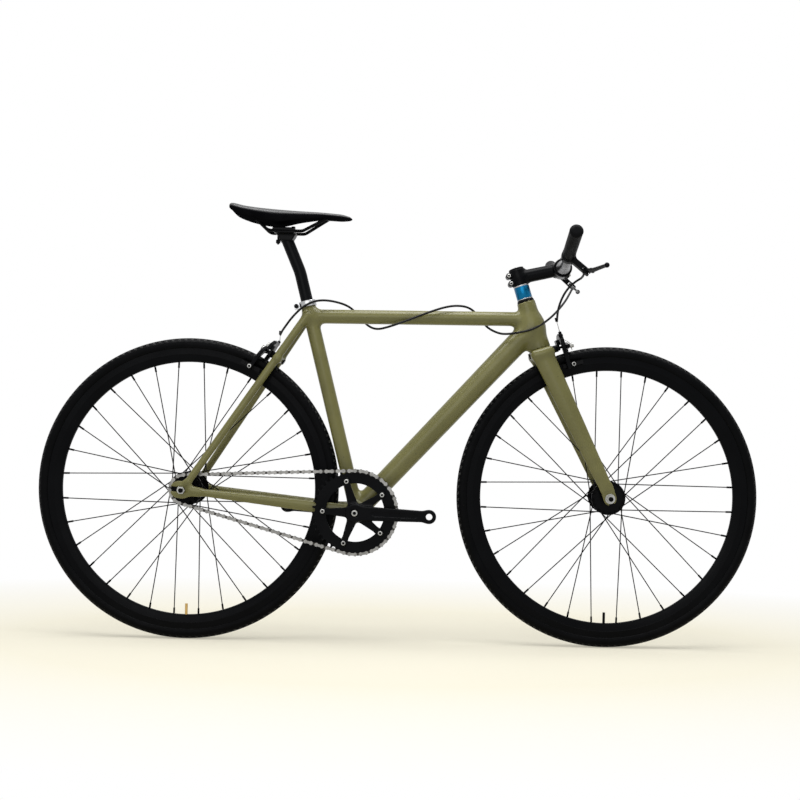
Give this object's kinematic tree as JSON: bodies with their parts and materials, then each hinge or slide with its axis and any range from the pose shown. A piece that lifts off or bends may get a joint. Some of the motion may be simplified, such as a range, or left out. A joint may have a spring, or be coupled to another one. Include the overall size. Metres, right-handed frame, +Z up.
{
  "type": "fixed gear bike",
  "caption": "Single-speed fixed gear bicycle: straight-tube frame, deep rims, flat bar with two brake levers and dual-pivot rim brakes, racing saddle, cranks without pedals.",
  "frame": {"origin": "on the ground under the middle of the wheelbase", "axes": "+X forward, +Y to the left side of the bike, +Z up"},
  "size_m": [1.622, 0.534, 0.9828],
  "materials": {
    "frame_paint": "satin",
    "black_alloy": "satin",
    "rim_black": "satin",
    "tyre_rubber": "matte",
    "black_steel": "satin",
    "bright_steel": "satin",
    "silver_alloy": "satin",
    "blue_alloy": "satin",
    "valve_brass": "satin",
    "housing_plastic": "satin",
    "pad_rubber": "matte",
    "grip_rubber": "matte",
    "saddle_cover": "satin"
  },
  "bodies": {
    "frame": {"top_tube": "frame_paint", "down_tube": "frame_paint", "head_tube": "frame_paint", "seat_tube": "frame_paint", "bottom_bracket_shell": "frame_paint", "chainstays": "frame_paint", "seatstays": "frame_paint", "dropouts": "frame_paint", "seat_collar": "silver_alloy", "bottom_bracket_cups": "black_alloy", "chain": "bright_steel", "rear_axle": "bright_steel", "rear_brake_base": "bright_steel", "rear_brake_cable": "housing_plastic"},
    "steering": {"fork_crown": "frame_paint", "fork_blades": "frame_paint", "headset": "black_alloy", "silver_spacers": "silver_alloy", "blue_spacer": "blue_alloy", "stem": "black_alloy", "stem_face_plate": "black_alloy", "stem_bolts": "bright_steel", "handlebar": "silver_alloy", "grips": "grip_rubber", "brake_lever_brackets": "black_alloy", "front_axle": "bright_steel", "front_brake_base": "bright_steel", "front_brake_cable": "housing_plastic", "rear_brake_cable_loop": "housing_plastic"},
    "front_wheel": {"front_hub": "black_alloy", "front_spokes": "black_steel", "front_rim": "rim_black", "front_tyre": "tyre_rubber", "front_valve": "black_alloy"},
    "rear_wheel": {"rear_hub": "black_alloy", "rear_cog": "bright_steel", "rear_lockring": "black_alloy", "rear_spokes": "black_steel", "rear_rim": "rim_black", "rear_tyre": "tyre_rubber", "rear_valve": "valve_brass"},
    "crankset": {"crank_right": "black_alloy", "crank_left": "black_alloy", "chainring": "black_alloy", "crankset_bolts": "bright_steel", "bb_spindle": "bright_steel"},
    "seat": {"seatpost": "black_alloy", "seatpost_clamp": "black_alloy", "saddle": "saddle_cover", "saddle_rails": "black_steel"},
    "lever_right": {"brake_lever_right": "black_alloy"},
    "lever_left": {"brake_lever_left": "black_alloy"},
    "front_curved_arm": {"front_caliper_curved_arm": "black_alloy", "front_brake_pad_right": "pad_rubber"},
    "front_straight_arm": {"front_caliper_straight_arm": "black_alloy", "front_brake_pad_left": "pad_rubber"},
    "rear_curved_arm": {"rear_caliper_curved_arm": "black_alloy", "rear_brake_pad_left": "pad_rubber"},
    "rear_straight_arm": {"rear_caliper_straight_arm": "black_alloy", "rear_brake_pad_right": "pad_rubber"}
  },
  "joints": [
    {"name": "steering_turn", "type": "hinge", "parent": "frame", "child": "steering", "pos_m": [0.31457, 0, 0.6697], "axis": [-0.3057, 0, 0.9521], "range_deg": [-60, 60], "deforming": ["rear_brake_cable_loop"]},
    {"name": "front_wheel_spin", "type": "hinge", "parent": "steering", "child": "front_wheel", "pos_m": [0.472, 0, 0.339], "axis": [0, 1, 0], "continuous": true},
    {"name": "rear_wheel_spin", "type": "hinge", "parent": "frame", "child": "rear_wheel", "pos_m": [-0.472, 0, 0.339], "axis": [0, 1, 0], "continuous": true, "deforming": ["chain"]},
    {"name": "crank_spin", "type": "hinge", "parent": "frame", "child": "crankset", "pos_m": [-0.09196, 0, 0.2955], "axis": [0, 1, 0], "continuous": true},
    {"name": "seat_slide", "type": "slide", "parent": "frame", "child": "seat", "axis": [-0.2504, 0, 0.9681], "range_m": [-0.05, 0.04]},
    {"name": "lever_right_pull", "type": "hinge", "parent": "steering", "child": "lever_right", "pos_m": [0.39662, -0.12992, 0.83222], "axis": [-0.6597, -0.1672, -0.7327], "range_deg": [0, 18], "stiffness_Nm_per_rad": 1.2, "springref_deg": -14.32},
    {"name": "lever_left_pull", "type": "hinge", "parent": "steering", "child": "lever_left", "pos_m": [0.39662, 0.12992, 0.83222], "axis": [0.6597, -0.1672, 0.7327], "range_deg": [0, 18], "stiffness_Nm_per_rad": 1.2, "springref_deg": -14.32},
    {"name": "front_curved_arm_turn", "type": "hinge", "parent": "steering", "child": "front_curved_arm", "pos_m": [0.36012, 0.018, 0.68748], "axis": [0.9521, 0, 0.3057], "range_deg": [0, 1.7]},
    {"name": "front_straight_arm_turn", "type": "hinge", "parent": "steering", "child": "front_straight_arm", "pos_m": [0.37264, 0, 0.6789], "axis": [-0.9521, 0, -0.3057], "range_deg": [0, 2]},
    {"name": "rear_curved_arm_turn", "type": "hinge", "parent": "frame", "child": "rear_curved_arm", "pos_m": [-0.29163, -0.018, 0.66129], "axis": [-0.8281, 0, 0.5606], "range_deg": [0, 1.7]},
    {"name": "rear_straight_arm_turn", "type": "hinge", "parent": "frame", "child": "rear_straight_arm", "pos_m": [-0.30606, 0, 0.65656], "axis": [0.8281, 0, -0.5606], "range_deg": [0, 2]}
  ],
  "couplings": [
    {"joint": "crank_spin", "follows": "rear_wheel_spin", "ratio": 0.34783},
    {"joint": "front_curved_arm_turn", "follows": "lever_right_pull", "ratio": 0.094443},
    {"joint": "front_straight_arm_turn", "follows": "lever_right_pull", "ratio": 0.11111},
    {"joint": "rear_curved_arm_turn", "follows": "lever_left_pull", "ratio": 0.094443},
    {"joint": "rear_straight_arm_turn", "follows": "lever_left_pull", "ratio": 0.11111}
  ]
}
